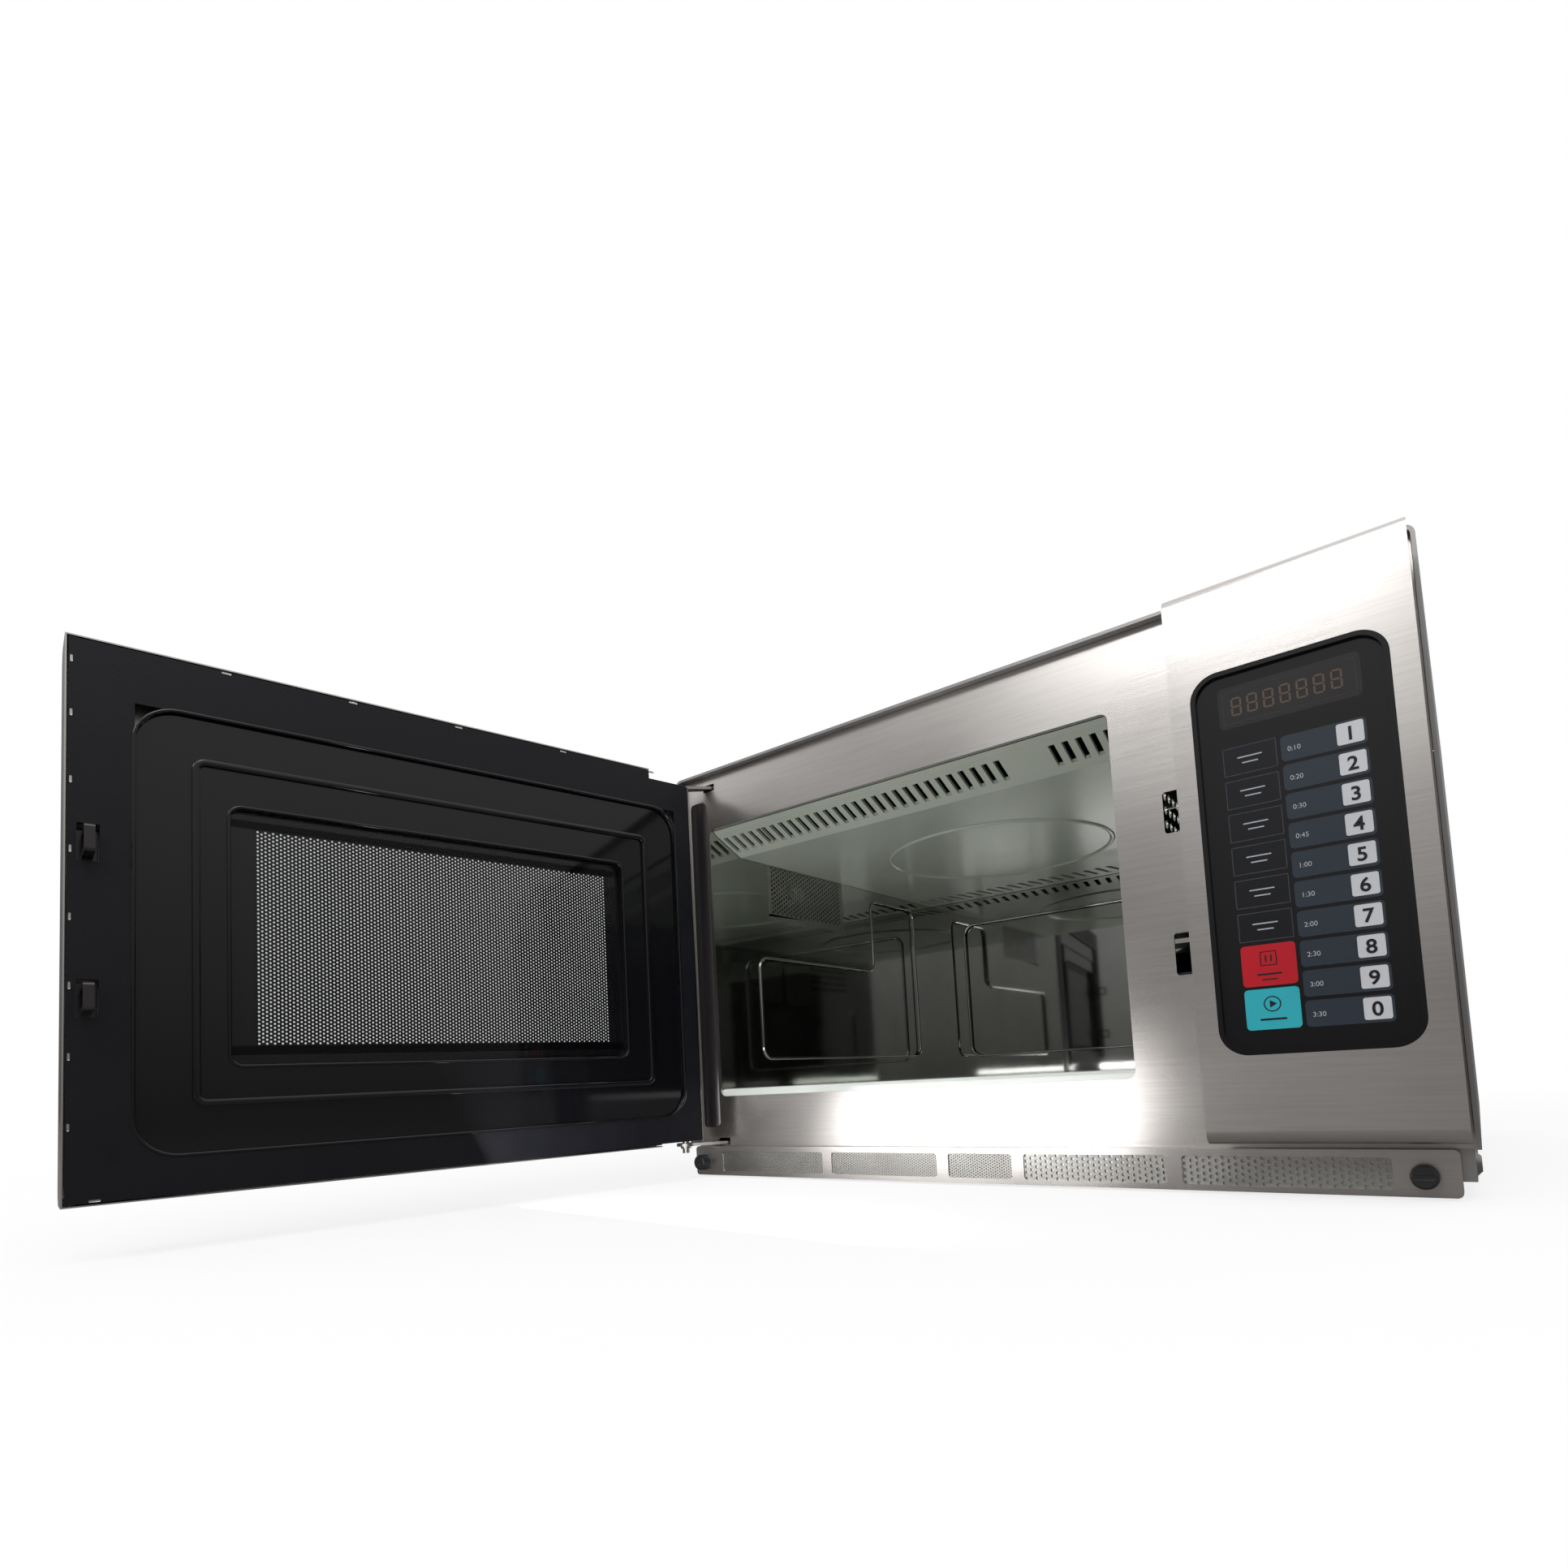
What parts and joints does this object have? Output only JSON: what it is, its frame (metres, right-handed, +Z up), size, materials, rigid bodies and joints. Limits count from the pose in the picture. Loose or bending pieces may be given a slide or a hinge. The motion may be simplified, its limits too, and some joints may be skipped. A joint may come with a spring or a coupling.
{
  "type": "microwave oven",
  "caption": "Countertop microwave oven with a side-hung door standing open, a steel cavity, a touch control panel and a removable air filter strip along the bottom front.",
  "frame": {"origin": "centre of the front left foot's underside, on the bench", "axes": "+X to the oven's right as its user sees it, +Y from the door towards the back, +Z up; the door stands open at rest"},
  "size_m": [0.6646, 0.8929, 0.361],
  "materials": {
    "brushed_front": "satin, fine horizontal grain",
    "wrap_paint": "semi-gloss grey coating",
    "bead_dark": "glossy dark coating",
    "polished_steel": "bright, nearly mirror",
    "punched_steel": "punched sheet",
    "plain_steel": "plain zinc plated sheet",
    "zinc": "bright zinc plating",
    "ceramic": "smooth opaque glass ceramic",
    "silicone": "matte",
    "rubber_foot": "matte",
    "shield_plastic": "satin pale moulding",
    "aluminium": "plain",
    "black_plastic": "matte black moulding",
    "gloss_black": "high gloss black",
    "trim_black": "fine texture, blue-black",
    "white_plastic": "matte",
    "clear_glass": "clear",
    "smoked_glass": "smoked, polished",
    "iron": "varnished laminations",
    "winding": "enamelled wire",
    "board": "solder mask",
    "warm_glass": "clear lamp glass",
    "spring_steel": "bright wire",
    "filter_grey": "woven mesh"
  },
  "bodies": {
    "case": {"outer_wrap": "wrap_paint", "base_pan": "plain_steel", "feet": "rubber_foot", "rear_panel": "plain_steel", "front_plate": "brushed_front", "hinge_bead": "bead_dark", "cavity_box": "polished_steel", "lamp_vent": "punched_steel", "ceramic_shelf": "ceramic", "shelf_seal": "silicone", "splatter_shield": "shield_plastic", "stirrer_motor": "zinc", "waveguide": "plain_steel", "magnetron_yoke": "zinc", "magnetron_fins": "aluminium", "magnetron_tube": "zinc", "transformer_core": "iron", "transformer_windings": "winding", "capacitor": "aluminium", "rectifier_diode": "black_plastic", "line_filter": "board", "fan_shroud": "black_plastic", "fan_motor": "zinc", "lamp_bulb": "warm_glass", "lamp_holder": "white_plastic", "thermal_cutouts": "black_plastic", "cord_gland": "black_plastic", "case_screws": "zinc", "control_panel": "brushed_front", "key_bezel": "gloss_black", "key_overlay": "gloss_black", "panel_chassis": "black_plastic", "control_board": "board", "display_module": "gloss_black", "filter_frame": "brushed_front", "filter_mesh": "filter_grey", "filter_backing": "punched_steel", "upper_hinge": "zinc", "lower_hinge": "zinc", "hinge_pins": "zinc", "latch_housing": "black_plastic", "latch_springs": "spring_steel", "interlock_switches": "black_plastic"},
    "door": {"door_skin": "brushed_front", "door_frame": "plain_steel", "inner_trim": "trim_black", "choke_cover": "gloss_black", "outer_glass": "smoked_glass", "door_screen": "punched_steel", "inner_pane": "clear_glass", "latch_strikes": "zinc", "door_handle": "brushed_front", "door_lugs": "plain_steel"},
    "upper_latch": {"upper_pawl": "white_plastic"},
    "lower_latch": {"lower_pawl": "white_plastic"},
    "stirrer_body": {"stirrer": "aluminium"},
    "fan_body": {"fan_wheel": "white_plastic"},
    "left_screw": {"left_thumb_screw": "black_plastic"},
    "right_screw": {"right_thumb_screw": "black_plastic"}
  },
  "joints": [
    {"name": "door_hinge", "type": "hinge", "parent": "case", "child": "door", "pos_m": [-0.0339, -0.0578, 0.18], "axis": [0, 0, 1], "range_deg": [-15, 100.16]},
    {"name": "upper_latch_turn", "type": "hinge", "parent": "case", "child": "upper_latch", "pos_m": [0.385, 0, 0.234], "axis": [0, 0, 1], "range_deg": [-12, 0], "stiffness_Nm_per_rad": 0.02},
    {"name": "lower_latch_turn", "type": "hinge", "parent": "case", "child": "lower_latch", "pos_m": [0.385, 0, 0.1455], "axis": [0, 0, 1], "range_deg": [-12, 0], "stiffness_Nm_per_rad": 0.02},
    {"name": "stirrer_spin", "type": "hinge", "parent": "case", "child": "stirrer_body", "pos_m": [0.171, 0.18, 0.3], "axis": [0, 0, 1], "continuous": true},
    {"name": "fan_spin", "type": "hinge", "parent": "case", "child": "fan_body", "pos_m": [0.44, 0.378, 0.18], "axis": [0, 1, 0], "continuous": true},
    {"name": "left_screw_turn", "type": "hinge", "parent": "case", "child": "left_screw", "pos_m": [-0.0274, -0.042, 0.0128], "axis": [0, 1, 0], "continuous": true},
    {"name": "right_screw_turn", "type": "hinge", "parent": "case", "child": "right_screw", "pos_m": [0.4899, -0.042, 0.0128], "axis": [0, 1, 0], "continuous": true}
  ]
}
